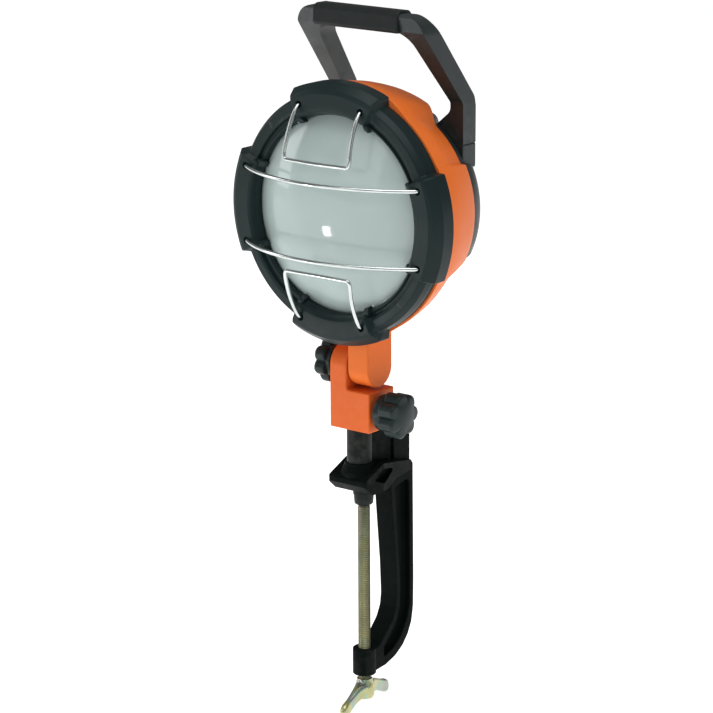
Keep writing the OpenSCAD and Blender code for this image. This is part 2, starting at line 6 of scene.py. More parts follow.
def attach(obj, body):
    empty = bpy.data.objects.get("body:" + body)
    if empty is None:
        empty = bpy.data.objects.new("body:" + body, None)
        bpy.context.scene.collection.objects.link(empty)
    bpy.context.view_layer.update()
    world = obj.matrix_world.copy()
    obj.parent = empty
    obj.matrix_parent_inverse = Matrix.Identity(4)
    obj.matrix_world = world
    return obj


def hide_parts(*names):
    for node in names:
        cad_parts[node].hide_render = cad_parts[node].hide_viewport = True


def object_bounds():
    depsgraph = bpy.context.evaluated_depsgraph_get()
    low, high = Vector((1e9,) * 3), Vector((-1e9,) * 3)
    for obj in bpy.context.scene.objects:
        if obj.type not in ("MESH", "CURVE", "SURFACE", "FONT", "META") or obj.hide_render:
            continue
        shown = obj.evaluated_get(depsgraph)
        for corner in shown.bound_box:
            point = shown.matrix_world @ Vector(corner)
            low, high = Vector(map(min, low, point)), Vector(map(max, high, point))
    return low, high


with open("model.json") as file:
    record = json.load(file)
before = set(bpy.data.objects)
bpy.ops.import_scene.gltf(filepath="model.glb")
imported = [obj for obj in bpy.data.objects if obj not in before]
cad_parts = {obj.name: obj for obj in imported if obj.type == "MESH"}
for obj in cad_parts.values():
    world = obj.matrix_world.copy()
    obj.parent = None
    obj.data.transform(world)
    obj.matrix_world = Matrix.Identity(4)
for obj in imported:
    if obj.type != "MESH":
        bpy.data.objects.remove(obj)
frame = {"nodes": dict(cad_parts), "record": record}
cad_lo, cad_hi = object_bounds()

MM = 0.001
HY, HZ = -2.0, 255.0
PIV = 114.0
POSTY = -6.0
KZ = 76.0
BOSS_T, BOSS_B = -150.5, -175.5
ARMY, KNEE, LEAN, HT = 51.4, 92.0, 0.79, 174.0
HYT = ARMY - LEAN * (HT - KNEE)
scene = bpy.context.scene
coll = scene.collection


# ------------------------------------------------------------------ camera and studio
def camera():
    az, el, roll = math.radians(38.26), math.radians(14.9), math.radians(-0.29)
    back = Vector((math.sin(az) * math.cos(el), -math.cos(az) * math.cos(el), math.sin(el)))
    r = Vector((math.cos(az), math.sin(az), 0))
    u = back.cross(r)
    R = math.cos(roll) * r + math.sin(roll) * u
    U = -math.sin(roll) * r + math.cos(roll) * u
    data = bpy.data.cameras.new("camera")
    data.lens, data.sensor_width = 157.33, 36.0
    data.clip_start, data.clip_end = 0.1, 60.0
    cam = bpy.data.objects.new("camera", data)
    m = Matrix.Identity(4)
    for i in range(3):
        m[i][0], m[i][1], m[i][2] = R[i], U[i], back[i]
    m[0][3], m[1][3], m[2][3] = 1.6391, -2.0879, 0.8272
    cam.matrix_world = m
    coll.objects.link(cam)
    scene.camera = cam


def area(name, pos, aim, size, power, color=(1, 1, 1), size_y=None):
    d = bpy.data.lights.new(name, "AREA")
    d.energy, d.color, d.size = power, color, size
    if size_y:
        d.shape, d.size_y = "RECTANGLE", size_y
    o = bpy.data.objects.new(name, d)
    o.location = pos
    o.rotation_mode = "QUATERNION"
    o.rotation_quaternion = (Vector(aim) - Vector(pos)).to_track_quat("-Z", "Y")
    coll.objects.link(o)
    return o


def studio():
    w = bpy.data.worlds.new("studio")
    w.use_nodes = True
    w.node_tree.nodes["Background"].inputs[0].default_value = (1.0, 1.0, 1.0, 1)
    w.node_tree.nodes["Background"].inputs[1].default_value = 0.20
    scene.world = w
    scene.view_settings.view_transform = "Standard"
    scene.view_settings.look = "None"
    scene.view_settings.exposure = 0.0
    area("top_box", (0.5, -0.5, 3.2), (0, 0, 0.1), 3.0, 78)
    area("right_box", (3.0, 0.1, 1.3), (0, 0, 0.2), 1.0, 6, size_y=2.0)
    area("front_fill", (-0.9, -3.2, 1.5), (0, 0, 0.15), 1.6, 12)
    area("left_strip", (-2.6, -0.9, 1.0), (0, 0, 0.2), 0.6, 12, size_y=2.0)
    area("lens_spark", (-0.64, -0.88, -0.10), (0.003, -0.055, 0.244), 0.09, 0.8)
    me = bpy.data.meshes.new("floor")
    s, z = 14.0, cad_lo.z - 0.0004
    me.from_pydata([(-s, -s, z), (s, -s, z), (s, s, z), (-s, s, z)], [], [(0, 1, 2, 3)])
    fl = bpy.data.objects.new("floor", me)
    coll.objects.link(fl)
    m = bpy.data.materials.new("floor_paper")
    m.use_nodes = True
    nt = m.node_tree
    p = nt.nodes["Principled BSDF"]
    p.inputs["Roughness"].default_value = 0.9
    p.inputs["Specular IOR Level"].default_value = 0.1
    n = nt.nodes.new("ShaderNodeTexNoise")
    n.inputs["Scale"].default_value = 3.0
    rmp = nt.nodes.new("ShaderNodeValToRGB")
    rmp.color_ramp.elements[0].color = (0.90, 0.90, 0.895, 1)
    rmp.color_ramp.elements[1].color = (0.93, 0.93, 0.925, 1)
    nt.links.new(n.outputs["Fac"], rmp.inputs[0])
    nt.links.new(rmp.outputs[0], p.inputs["Base Color"])
    p.inputs["Emission Color"].default_value = (1, 1, 1, 1)
    p.inputs["Emission Strength"].default_value = 0.74
    me.materials.append(m)


camera()
studio()


# ------------------------------------------------------------------ materials
def material(name, color, rough, *, metal=0.0, spec=0.5, grain=900.0, bump=0.06, dist=0.00012, vary=0.10, patch=16.0,
             rough_vary=0.08, wear=0.0, wear_color=None, coat=0.0, coat_rough=0.1, stretch=None, tint=None, tint_amount=0.0,
             tint_scale=30.0, blotch=0.0, ior=1.5, aniso=0.0, scratch=0.0):
    m = bpy.data.materials.new(name)
    m.use_nodes = True
    nt = m.node_tree
    N, L = nt.nodes, nt.links
    p = N["Principled BSDF"]
    p.inputs["Metallic"].default_value = metal
    p.inputs["Specular IOR Level"].default_value = spec
    p.inputs["IOR"].default_value = ior
    p.inputs["Coat Weight"].default_value = coat
    p.inputs["Coat Roughness"].default_value = coat_rough
    if aniso:
        p.inputs["Anisotropic"].default_value = aniso
    tc = N.new("ShaderNodeTexCoord")
    src = tc.outputs["Object"]
    if stretch:
        mp = N.new("ShaderNodeMapping")
        mp.inputs["Scale"].default_value = stretch
        L.new(src, mp.inputs["Vector"])
        fine_src = mp.outputs["Vector"]
    else:
        fine_src = src
    big = N.new("ShaderNodeTexNoise")
    big.inputs["Scale"].default_value = patch
    big.inputs["Detail"].default_value = 4
    L.new(src, big.inputs["Vector"])
    fine = N.new("ShaderNodeTexNoise")
    fine.inputs["Scale"].default_value = grain
    fine.inputs["Detail"].default_value = 3
    fine.inputs["Roughness"].default_value = 0.6
    L.new(fine_src, fine.inputs["Vector"])
    ramp = N.new("ShaderNodeValToRGB")
    c = np.array(color[:3])
    e = ramp.color_ramp.elements
    e[0].position, e[1].position = 0.30, 0.70
    e[0].color = (*(c * (1 - vary)), 1)
    e[1].color = (*np.minimum(c * (1 + vary), 0.98), 1)
    L.new(big.outputs["Fac"], ramp.inputs[0])
    col = ramp.outputs[0]

    def mix(fac, a, b, mode="MIX"):
        x = N.new("ShaderNodeMix")
        x.data_type, x.blend_type = "RGBA", mode
        L.new(fac, x.inputs[0])
        L.new(a, x.inputs[6])
        if isinstance(b, tuple):
            x.inputs[7].default_value = (*b[:3], 1)
        else:
            L.new(b, x.inputs[7])
        return x.outputs[2]

    def rng(v, a, b, c0, c1):
        x = N.new("ShaderNodeMapRange")
        x.inputs[1].default_value, x.inputs[2].default_value = a, b
        x.inputs[3].default_value, x.inputs[4].default_value = c0, c1
        L.new(v, x.inputs[0])
        return x.outputs[0]

    if tint is not None:
        tn = N.new("ShaderNodeTexNoise")
        tn.inputs["Scale"].default_value = tint_scale
        tn.inputs["Detail"].default_value = 2
        tn.inputs["Distortion"].default_value = 0.6
        L.new(src, tn.inputs["Vector"])
        if len(tint) > 1:
            tr = N.new("ShaderNodeValToRGB")
            while len(tr.color_ramp.elements) < len(tint):
                tr.color_ramp.elements.new(0.5)
            for i, t in enumerate(tint):
                tr.color_ramp.elements[i].position = 0.32 + 0.36 * i / (len(tint) - 1)
                tr.color_ramp.elements[i].color = (*t, 1)
            L.new(tn.outputs["Fac"], tr.inputs[0])
            col = mix(rng(big.outputs["Fac"], 0.3, 0.7, tint_amount * 0.6, tint_amount), col, tr.outputs[0])
        else:
            col = mix(rng(tn.outputs["Fac"], 0.45, 0.65, 0.0, tint_amount), col, tint[0])
    if wear > 0:
        geo = N.new("ShaderNodeNewGeometry")
        wn = N.new("ShaderNodeTexNoise")
        wn.inputs["Scale"].default_value = 140.0
        wn.inputs["Detail"].default_value = 5
        L.new(src, wn.inputs["Vector"])
        edge = rng(geo.outputs["Pointiness"], 0.515, 0.60, 0.0, 1.0)
        brk = rng(wn.outputs["Fac"], 0.42, 0.62, 0.0, 1.0)
        mu = N.new("ShaderNodeMath")
        mu.operation = "MULTIPLY"
        L.new(edge, mu.inputs[0])
        L.new(brk, mu.inputs[1])
        mw = N.new("ShaderNodeMath")
        mw.operation = "MULTIPLY"
        L.new(mu.outputs[0], mw.inputs[0])
        mw.inputs[1].default_value = wear
        col = mix(mw.outputs[0], col, tuple(wear_color or np.minimum(c * 2.2 + 0.02, 0.9)))
    L.new(col, p.inputs["Base Color"])
    rn = N.new("ShaderNodeTexNoise")
    rn.inputs["Scale"].default_value = 55.0
    rn.inputs["Detail"].default_value = 5
    L.new(fine_src if stretch else src, rn.inputs["Vector"])
    L.new(rng(rn.outputs["Fac"], 0.25, 0.75, max(0.02, rough - rough_vary), min(1.0, rough + rough_vary)), p.inputs["Roughness"])
    h = fine.outputs["Fac"]
    if blotch > 0:
        vo = N.new("ShaderNodeTexNoise")
        vo.inputs["Scale"].default_value = 170.0
        vo.inputs["Detail"].default_value = 6
        L.new(src, vo.inputs["Vector"])
        ad = N.new("ShaderNodeMath")
        ad.operation = "MULTIPLY_ADD"
        L.new(vo.outputs["Fac"], ad.inputs[0])
        ad.inputs[1].default_value = blotch
        L.new(h, ad.inputs[2])
        h = ad.outputs[0]
    if scratch > 0:
        wv = N.new("ShaderNodeTexNoise")
        wv.inputs["Scale"].default_value = 60.0
        wv.inputs["Detail"].default_value = 8
        wv.inputs["Distortion"].default_value = 4.0
        L.new(src, wv.inputs["Vector"])
        ad = N.new("ShaderNodeMath")
        ad.operation = "MULTIPLY_ADD"
        L.new(wv.outputs["Fac"], ad.inputs[0])
        ad.inputs[1].default_value = scratch
        L.new(h, ad.inputs[2])
        h = ad.outputs[0]
    b = N.new("ShaderNodeBump")
    b.inputs["Strength"].default_value = bump
    b.inputs["Distance"].default_value = dist
    L.new(h, b.inputs["Height"])
    L.new(b.outputs[0], p.inputs["Normal"])
    return m


def glass(name):
    m = bpy.data.materials.new(name)
    m.use_nodes = True
    nt = m.node_tree
    N, L = nt.nodes, nt.links
    p = N["Principled BSDF"]
    p.inputs["Base Color"].default_value = (0.60, 0.71, 0.69, 1)
    p.inputs["Specular IOR Level"].default_value = 0.6
    tc = N.new("ShaderNodeTexCoord")
    nz = N.new("ShaderNodeTexNoise")
    nz.inputs["Scale"].default_value = 9.0
    nz.inputs["Detail"].default_value = 4
    L.new(tc.outputs["Object"], nz.inputs["Vector"])
    mr = N.new("ShaderNodeMapRange")
    mr.inputs[1].default_value, mr.inputs[2].default_value, mr.inputs[3].default_value, mr.inputs[4].default_value = 0.3, 0.7, 0.035, 0.085
    L.new(nz.outputs["Fac"], mr.inputs[0])
    L.new(mr.outputs[0], p.inputs["Roughness"])
    dn = N.new("ShaderNodeTexNoise")
    dn.inputs["Scale"].default_value = 420.0
    L.new(tc.outputs["Object"], dn.inputs["Vector"])
    bp = N.new("ShaderNodeBump")
    bp.inputs["Strength"].default_value = 0.02
    bp.inputs["Distance"].default_value = 0.00005
    L.new(dn.outputs["Fac"], bp.inputs["Height"])
    L.new(bp.outputs[0], p.inputs["Normal"])
    t = N.new("ShaderNodeBsdfTransparent")
    t.inputs[0].default_value = (0.955, 0.975, 0.97, 1)
    lw = N.new("ShaderNodeLayerWeight")
    lw.inputs["Blend"].default_value = 0.22
    rr = N.new("ShaderNodeMapRange")
    rr.inputs[1].default_value, rr.inputs[2].default_value, rr.inputs[3].default_value, rr.inputs[4].default_value = 0.0, 1.0, 0.56, 0.85
    L.new(lw.outputs["Fresnel"], rr.inputs[0])
    mx = N.new("ShaderNodeMixShader")
    L.new(rr.outputs[0], mx.inputs[0])
    L.new(t.outputs[0], mx.inputs[1])
    L.new(p.outputs[0], mx.inputs[2])
    L.new(mx.outputs[0], N["Material Output"].inputs["Surface"])
    return m


ZINC = [(0.30, 0.31, 0.16), (0.36, 0.34, 0.14), (0.20, 0.34, 0.27), (0.30, 0.28, 0.30), (0.34, 0.33, 0.17)]
MAT = {
    "cast_black": material("cast_black", (0.0030, 0.0055, 0.0050), 0.50, spec=0.03, grain=420, bump=0.35, dist=0.00018, vary=0.2, wear=0.35, wear_color=(0.03, 0.034, 0.032), blotch=1.4),
    "black_steel": material("black_steel", (0.0055, 0.0090, 0.0080), 0.42, spec=0.11, grain=1100, bump=0.10, dist=0.00006, vary=0.14, wear=0.3, wear_color=(0.08, 0.08, 0.075), blotch=0.4),
    "zinc_black": material("zinc_black", (0.008, 0.012, 0.011), 0.46, spec=0.12, grain=800, bump=0.15, dist=0.00008, wear=0.5, wear_color=(0.16, 0.155, 0.12)),
    "zinc_yellow": material("zinc_yellow", (0.30, 0.29, 0.18), 0.34, metal=0.85, grain=1600, bump=0.10, dist=0.00004, vary=0.16, patch=40, tint=ZINC, tint_amount=0.35, tint_scale=22, rough_vary=0.1),
    "zinc_yellow_cast": material("zinc_yellow_cast", (0.42, 0.44, 0.28), 0.30, metal=0.8, grain=500, bump=0.16, dist=0.0001, vary=0.12, patch=60, tint=[(0.40, 0.40, 0.20), (0.52, 0.46, 0.16), (0.26, 0.48, 0.38), (0.42, 0.38, 0.44), (0.46, 0.46, 0.26)], tint_amount=0.8, tint_scale=48, blotch=0.5, wear=0.4, wear_color=(0.7, 0.7, 0.62)),
    "bright_steel": material("bright_steel", (0.56, 0.57, 0.57), 0.28, metal=1.0, grain=1500, bump=0.08, dist=0.00004, vary=0.08, patch=60, scratch=0.5),
    "orange_paint": material("orange_paint", (0.74, 0.130, 0.020), 0.42, spec=0.17, grain=520, bump=0.10, dist=0.00007, vary=0.05, wear=0.30, wear_color=(0.80, 0.27, 0.10), blotch=0.5, rough_vary=0.06),
    "fibre_grey": material("fibre_grey", (0.10, 0.10, 0.09), 0.8, grain=700, bump=0.3, vary=0.2),
    "knob_black": material("knob_black", (0.014, 0.0230, 0.0235), 0.34, spec=0.20, grain=1300, bump=0.10, dist=0.00006, vary=0.12, wear=0.25, wear_color=(0.07, 0.08, 0.08)),
    "brass_insert": material("brass_insert", (0.62, 0.45, 0.16), 0.3, metal=1.0, grain=1200, bump=0.08),
    "orange_plastic": material("orange_plastic", (0.80, 0.168, 0.026), 0.40, spec=0.12, grain=1500, bump=0.09, dist=0.00006, vary=0.035, wear=0.18, wear_color=(0.86, 0.30, 0.12), rough_vary=0.05),
    "ring_rubber": material("ring_rubber", (0.0095, 0.0190, 0.0195), 0.36, spec=0.14, grain=1400, bump=0.12, dist=0.00007, vary=0.10, wear=0.35, wear_color=(0.09, 0.105, 0.11), rough_vary=0.07),
    "guard_steel": material("guard_steel", (0.58, 0.62, 0.61), 0.20, metal=1.0, grain=1200, bump=0.06, dist=0.00004, vary=0.10, patch=70, scratch=0.4, rough_vary=0.08),
    "lens_clear": glass("lens_clear"),
    "seal_black": material("seal_black", (0.015, 0.015, 0.016), 0.6, grain=900, bump=0.15),
    "reflector_pale": material("reflector_pale", (0.60, 0.68, 0.665), 0.30, metal=0.25, spec=0.6, grain=700, bump=0.03, dist=0.00005, vary=0.03, patch=9, rough_vary=0.06),
    "led_board_white": material("led_board_white", (0.62, 0.70, 0.68), 0.42, grain=1400, bump=0.05, vary=0.03),
    "led_phosphor": material("led_phosphor", (0.74, 0.78, 0.68), 0.25, grain=2500, bump=0.08, vary=0.04, coat=0.4),
    "heat_sink_aluminium": material("heat_sink_aluminium", (0.60, 0.61, 0.62), 0.42, metal=1.0, grain=800, bump=0.2, vary=0.06),
    "lead_insulation": material("lead_insulation", (0.25, 0.03, 0.03), 0.5, grain=900, bump=0.1),
    "cover_black": material("cover_black", (0.0150, 0.0220, 0.0225), 0.44, spec=0.42, grain=1100, bump=0.20, dist=0.00009, vary=0.10, wear=0.25, wear_color=(0.075, 0.085, 0.088)),
    "grip_rubber": material("grip_rubber", (0.0070, 0.0105, 0.0100), 0.55, spec=0.24, grain=900, bump=0.25, dist=0.00010, vary=0.12, wear=0.15, wear_color=(0.06, 0.065, 0.065)),
    "driver_white": material("driver_white", (0.70, 0.70, 0.66), 0.5, grain=900, bump=0.1),
    "board_green": material("board_green", (0.03, 0.18, 0.08), 0.35, grain=600, bump=0.1),
    "terminal_cream": material("terminal_cream", (0.74, 0.72, 0.64), 0.5, grain=900, bump=0.1),
    "switch_black": material("switch_black", (0.016, 0.016, 0.017), 0.4, grain=1200, bump=0.12),
    "switch_red": material("switch_red", (0.45, 0.022, 0.016), 0.3, grain=1300, bump=0.06, coat=0.2),
    "gland_black": material("gland_black", (0.022, 0.024, 0.026), 0.45, grain=1000, bump=0.18, wear=0.2),
}
SLOT = {s["node"]: s["material_slot"] for s in frame["record"]["subparts"]}
for n, o in frame["nodes"].items():
    while len(o.data.materials) < 1:
        o.data.materials.append(None)
    for i in range(len(o.data.materials)):
        o.data.materials[i] = MAT[SLOT[n]]
BODY = {n: b for b, ns in frame["record"]["behaviour"]["bodies"].items() for n in ns}


# ------------------------------------------------------------------ mesh helpers (millimetres in, metres out)
def rnd(pts, rad=0.0, n=5, fixed=False):
    """Rounds the corners of a closed outline; a point may carry its own radius as a third number."""
    out, N = [], len(pts)
    for i in range(N):
        p, a, b = (np.array(pts[k % N][:2], float) for k in (i, i - 1, i + 1))
        r = pts[i][2] if len(pts[i]) > 2 else rad
        u, v = a - p, b - p
        lu, lv = np.linalg.norm(u), np.linalg.norm(v)
        u, v = u / lu, v / lv
        ang = math.acos(float(np.clip(u @ v, -1, 1)))
        if r < 1e-6 or ang > math.pi - 0.03:
            if fixed:
                g = min(0.25, 0.3 * lu, 0.3 * lv)
                for k in range(n + 1):
                    t = 2.0 * k / n - 1.0
                    out.append(p + (u * -t if t < 0 else v * t) * g)
            else:
                out.append(p)
            continue
        d = min(r / math.tan(ang / 2), 0.48 * lu, 0.48 * lv)
        rr = d * math.tan(ang / 2)
        w = u + v
        c = p + w / np.linalg.norm(w) * rr / math.sin(ang / 2)
        s, e = p + u * d - c, p + v * d - c
        a0, a1 = math.atan2(s[1], s[0]), math.atan2(e[1], e[0])
        da = (a1 - a0 + math.pi) % (2 * math.pi) - math.pi
        for k in range(n + 1):
            t = a0 + da * k / n
            out.append(c + rr * np.array([math.cos(t), math.sin(t)]))
    return np.array(out)


def make(name, verts, faces, doubles=True):
    me = bpy.data.meshes.new(name)
    me.from_pydata([tuple(np.asarray(v, float) * MM) for v in verts], [], [tuple(int(i) for i in f) for f in faces])
    bm = bmesh.new()
    bm.from_mesh(me)
    if doubles:
        bmesh.ops.remove_doubles(bm, verts=bm.verts, dist=2e-6)
        bmesh.ops.dissolve_degenerate(bm, edges=bm.edges, dist=1e-7)
    bmesh.ops.recalc_face_normals(bm, faces=bm.faces)
    bm.to_mesh(me)
    bm.free()
    o = bpy.data.objects.new(name, me)
    coll.objects.link(o)
    return o


def join(name, objs):
    bm = bmesh.new()
    for o in objs:
        bm.from_mesh(o.data)
        bpy.data.objects.remove(o)
    me = bpy.data.meshes.new(name)
    bm.to_mesh(me)
    bm.free()
    o = bpy.data.objects.new(name, me)
    coll.objects.link(o)
    return o


def baked(o):
    """Applies every modifier of o."""
    bpy.context.view_layer.update()
    dg = bpy.context.evaluated_depsgraph_get()
    me = bpy.data.meshes.new_from_object(o.evaluated_get(dg))
    o.modifiers.clear()
    o.data = me
    return o


def boolean(a, b, op="DIFFERENCE"):
    m = a.modifiers.new("cut", "BOOLEAN")
    m.operation, m.object, m.solver = op, b, "EXACT"
    baked(a)
    bpy.data.objects.remove(b)
    bm = bmesh.new()
    bm.from_mesh(a.data)
    bmesh.ops.remove_doubles(bm, verts=bm.verts, dist=1e-6)
    bm.to_mesh(a.data)
    bm.free()
    return a


def bevel(o, width, seg=3, angle=35, flat=1.5):
    bm = bmesh.new()
    bm.from_mesh(o.data)
    if flat:
        bmesh.ops.dissolve_limit(bm, angle_limit=math.radians(flat), verts=bm.verts, edges=bm.edges)
    bm.to_mesh(o.data)
    bm.free()
    m = o.modifiers.new("edge", "BEVEL")
    m.width, m.segments, m.limit_method, m.angle_limit = width * MM, seg, "ANGLE", math.radians(angle)
    m.use_clamp_overlap = True
    m.miter_outer = "MITER_ARC"
    return baked(o)


def finish_piece(o, nodes, slot=None, sharp=40, body=None, weighted=True):
    me = o.data
    me.shade_smooth()
    me.set_sharp_from_angle(angle=math.radians(sharp))
    if weighted:
        w = o.modifiers.new("normals", "WEIGHTED_NORMAL")
        w.keep_sharp = True
        w.weight = 80
    me.materials.clear()
    s = slot or SLOT[nodes[0]]
    me.materials.append(MAT[s])
    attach(o, body or BODY[nodes[0]])
    if nodes:
        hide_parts(*nodes)
    return o


def head(r, f, a):
    return (r * math.cos(a), HY - f, HZ + r * math.sin(a))


def polar(name, profile, angles, place=head, closed=True):
    """Closed ring of cross-sections: profile(angle) gives (K, 2) points of (radius, forward)."""
    V, F = [], []
    P = [np.asarray(profile(a)) for a in angles]
    K = len(P[0])
    for a, pr in zip(angles, P):
        V += [place(r, f, a) for r, f in pr]
    n = len(angles)
    kk = K if closed else K - 1
    for i in range(n):
        j = (i + 1) % n
        for k in range(kk):
            l = (k + 1) % K
            F.append((i * K + k, j * K + k, j * K + l, i * K + l))
    return make(name, V, F)


def even(n, off=0.0):
    return [2 * math.pi * (i + off) / n for i in range(n)]


def prism(name, outline, t0, t1, place):
    V = [place(p[0], p[1], t) for t in (t0, t1) for p in outline]
    n = len(outline)
    F = [tuple(range(n))[::-1], tuple(range(n, 2 * n))] + [(i, (i + 1) % n, n + (i + 1) % n, n + i) for i in range(n)]
    return make(name, V, F, doubles=False)


YZ = lambda y, z, x: (x, y, z)          # outline in the side view, extruded along X
XZ = lambda x, z, y: (x, y, z)          # outline in the front view, extruded along Y
XY = lambda x, y, z: (x, y, z)          # outline in plan, extruded along Z


def turned(name, prof, n=96, axis="z", at=(0, 0, 0)):
    """Revolves (radius, height) points about an axis through at; the profile may start and end on the axis."""
    def place(r, h, a):
        c, s = r * math.cos(a), r * math.sin(a)
        v = {"z": (c, s, h), "x": (h, c, s), "-x": (-h, c, s), "y": (c, h, s)}[axis]
        return (v[0] + at[0], v[1] + at[1], v[2] + at[2])
    return polar(name, lambda a: prof, even(n), place=place, closed=True)


def tube(name, path, r, n=20, cap=True):
    path = np.asarray(path, float)
    N = len(path)
    T = np.gradient(path, axis=0)
    T /= np.linalg.norm(T, axis=1)[:, None]
    u = np.cross(T[0], [0.3, 0.2, 1.0])
    u /= np.linalg.norm(u)
    V, F = [], []
    for i in range(N):
        u = u - T[i] * (u @ T[i])
        u /= np.linalg.norm(u)
        v = np.cross(T[i], u)
        for k in range(n):
            a = 2 * math.pi * k / n
            V.append(path[i] + r * (u * math.cos(a) + v * math.sin(a)))
    for i in range(N - 1):
        for k in range(n):
            l = (k + 1) % n
            F.append((i * n + k, i * n + l, (i + 1) * n + l, (i + 1) * n + k))
    F.append(tuple(range(n))[::-1])
    F.append(tuple(range((N - 1) * n, N * n)))
    return make(name, V, F, doubles=False)


def smooth(x):
    x = min(1.0, max(0.0, x))
    return x * x * (3 - 2 * x)


def near(a, centres, half, soft):
    """1 inside half degrees of a centre, falling smoothly to 0 over soft degrees."""
    d = min(abs((math.degrees(a) - c + 180) % 360 - 180) for c in centres)
    return smooth((half + soft / 2 - d) / soft)


def sample(tab, f):
    xs = [t[0] for t in tab]
    ys = [t[1] for t in tab]
    return float(np.interp(f, xs, ys))


# ------------------------------------------------------------------ guard ring
WA, WR = 19.56, 100.0
def ring_profile():
    return rnd([(86.9, 30.75, 0.2), (86.9, 33.6, 0.8), (88.1, 36.4, 1.0), (89.6, 36.6, 0.6), (90.3, 34.6, 0.7), (93.2, 34.6, 0.7), (94.0, 38.0, 1.2), (96.6, 38.6, 1.0), (103.4, 38.6, 2.2), (107.0, 33.5, 2.5), (108.0, 27.0, 1.5), (108.0, 20.15, 0.5), (100.35, 20.15, 0.2), (100.35, 30.75, 0.2)], n=4, fixed=True)
def bump_profile():
    return rnd([(86.9, 30.75, 0.2), (86.9, 34.4, 0.8), (88.4, 37.6, 1.0), (89.2, 40.6, 0.8), (90.2, 42.8, 1.0), (92.4, 43.9, 1.4), (94.8, 44.0, 1.2), (97.0, 44.0, 1.0), (106.2, 44.0, 1.6), (109.6, 42.6, 2.2), (115.5, 34.6, 1.2), (115.5, 20.15, 0.8), (100.35, 20.15, 0.2), (100.35, 30.75, 0.2)], n=4, fixed=True)
RP, BP = ring_profile(), bump_profile()
ring_angles = []
for i in range(1440):
    deg = i * 0.25
    d = min(abs((deg - c + 180) % 360 - 180) for c in (0, 90, 180, 270))
    if abs(d - 24.6) < 3.2 or i % 4 == 0:
        ring_angles.append(math.radians(deg))
ring = polar("guard_ring", lambda a: RP + (BP - RP) * near(a, (0, 90, 180, 270), 24.6, 2.4), ring_angles)
holes = []
for b in (0, 90, 180, 270):
    for s in (-1, 1):
        a = math.radians(b + s * WA)
        holes.append(turned("h", [(0, 33.0), (2.25, 33.0), (2.25, 41.6), (3.9, 45.5), (3.9, 47), (0, 47)], 28, "y"))
        o = holes[-1]
        o.data.transform(Matrix.Scale(-1, 4, (0, 1, 0)))
        x, y, z = head(WR, 0, a)
        o.data.transform(Matrix.Translation(Vector((x * MM, y * MM, z * MM))))
for h in holes:
    bm = bmesh.new(); bm.from_mesh(h.data); bmesh.ops.recalc_face_normals(bm, faces=bm.faces); bm.to_mesh(h.data); bm.free()
boolean(ring, join("holes", holes))
# lugs on the inner lip at the bumpers' ends
lugs = []
for b in (0, 90, 180, 270):
    for s in (-1, 1):
        a = math.radians(b + s * 24.2)
        lug = prism("lug", rnd([(83.9, 32.0), (90.5, 32.0), (91.2, 40.6), (88.2, 40.8), (84.2, 37.2)], 0.9, 3), -2.6, 2.6, lambda r, f, t: (r, -f, t))
        bevel(lug, 0.6, 2)
        lug.data.transform(Matrix.Translation(Vector((0, HY * MM, HZ * MM))) @ Matrix.Rotation(-a, 4, "Y"))
        lugs.append(lug)
finish_piece(ring, ["front_ring"], sharp=38)
lugs = join("guard_ring_lugs", lugs)
finish_piece(lugs, [], slot="ring_rubber", body="head")

# ------------------------------------------------------------------ guard wires
xe, ze = WR * math.cos(math.radians(WA)), WR * math.sin(math.radians(WA))
BOW = 32.0
bow_r = (xe * xe + BOW * BOW) / (2 * BOW)
bow_a = math.asin(xe / bow_r)
def chaikin(p, n):
    p = np.asarray(p, float)
    for _ in range(n):
        q = [p[0]]
        for i in range(len(p) - 1):
            if i > 0:
                q.append(0.75 * p[i] + 0.25 * p[i + 1])
            if i < len(p) - 2:
                q.append(0.25 * p[i] + 0.75 * p[i + 1])
        q.append(p[-1])
        p = np.array(q)
    return p
def fwd(p):
    p = np.asarray(p, float)
    return np.stack([p[:, 0], HY - p[:, 2], HZ + p[:, 1]], 1)
def cross_wire(name, z, node):
    arc = [[bow_r * math.sin(t), z, 43.6 + BOW - bow_r + bow_r * math.cos(t)] for t in np.linspace(-bow_a, bow_a, 61)[1:-1]]
    p = [[-xe, z, 33.6], [-xe, z, 38], [-xe, z, 42.4]] + arc + [[xe, z, 42.4], [xe, z, 38], [xe, z, 33.6]]
    o = tube(name, fwd(chaikin(p, 2)), 1.78)
    finish_piece(o, [node], sharp=60, weighted=False)
cross_wire("guard_bar_upper", ze, "guard_wire_upper")
cross_wire("guard_bar_lower", -ze, "guard_wire_lower")
def loop_wire(name, s, node):
    p = [[-ze, s*xe, 33.6], [-ze, s*xe, 40], [-ze - 0.2, s*(xe - 1), 46], [-ze - 1, s*(xe - 16), 54.5], [-ze - 1.6, s*(xe - 30), 59.5],
         [-ze - 2.6, s*(xe - 45), 62], [0, s*(xe - 45.6), 63], [ze + 2.6, s*(xe - 45), 62],
         [ze + 1.6, s*(xe - 30), 59.5], [ze + 1, s*(xe - 16), 54.5], [ze + 0.2, s*(xe - 1), 46], [ze, s*xe, 40], [ze, s*xe, 33.6]]
    # keeps the lower corners tight
    p.insert(6, [-ze + 4, s*(xe - 45.3), 62.2])
    p.insert(8, [ze - 4, s*(xe - 45.3), 62.2])
    o = tube(name, fwd(chaikin(p, 4)), 1.72)
    finish_piece(o, [node], sharp=60, weighted=False)
loop_wire("guard_hoop_top", 1, "guard_loop_top")
loop_wire("guard_hoop_bottom", -1, "guard_loop_bottom")

